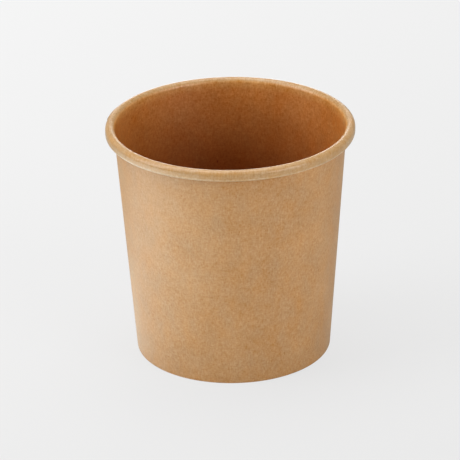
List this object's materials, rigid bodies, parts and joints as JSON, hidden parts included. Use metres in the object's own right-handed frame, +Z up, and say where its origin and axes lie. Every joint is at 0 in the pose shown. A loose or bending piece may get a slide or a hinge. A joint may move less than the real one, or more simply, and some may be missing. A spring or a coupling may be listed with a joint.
{
  "type": "paper soup bowl",
  "caption": "Tall tapered kraft paper bowl with a rolled rim, a recessed round base and a lapped side seam, open at the top.",
  "frame": {"origin": "on the floor under the middle of the bowl", "axes": "+Z up along the bowl's axis; the lap seam of the side wall is on the -X side, and the picture looks along +Y"},
  "size_m": [0.098, 0.098, 0.0952],
  "materials": {
    "wall_board": "matte",
    "base_board": "matte"
  },
  "bodies": {
    "root": {"side_wall": "wall_board", "base_disc": "base_board"}
  },
  "joints": []
}
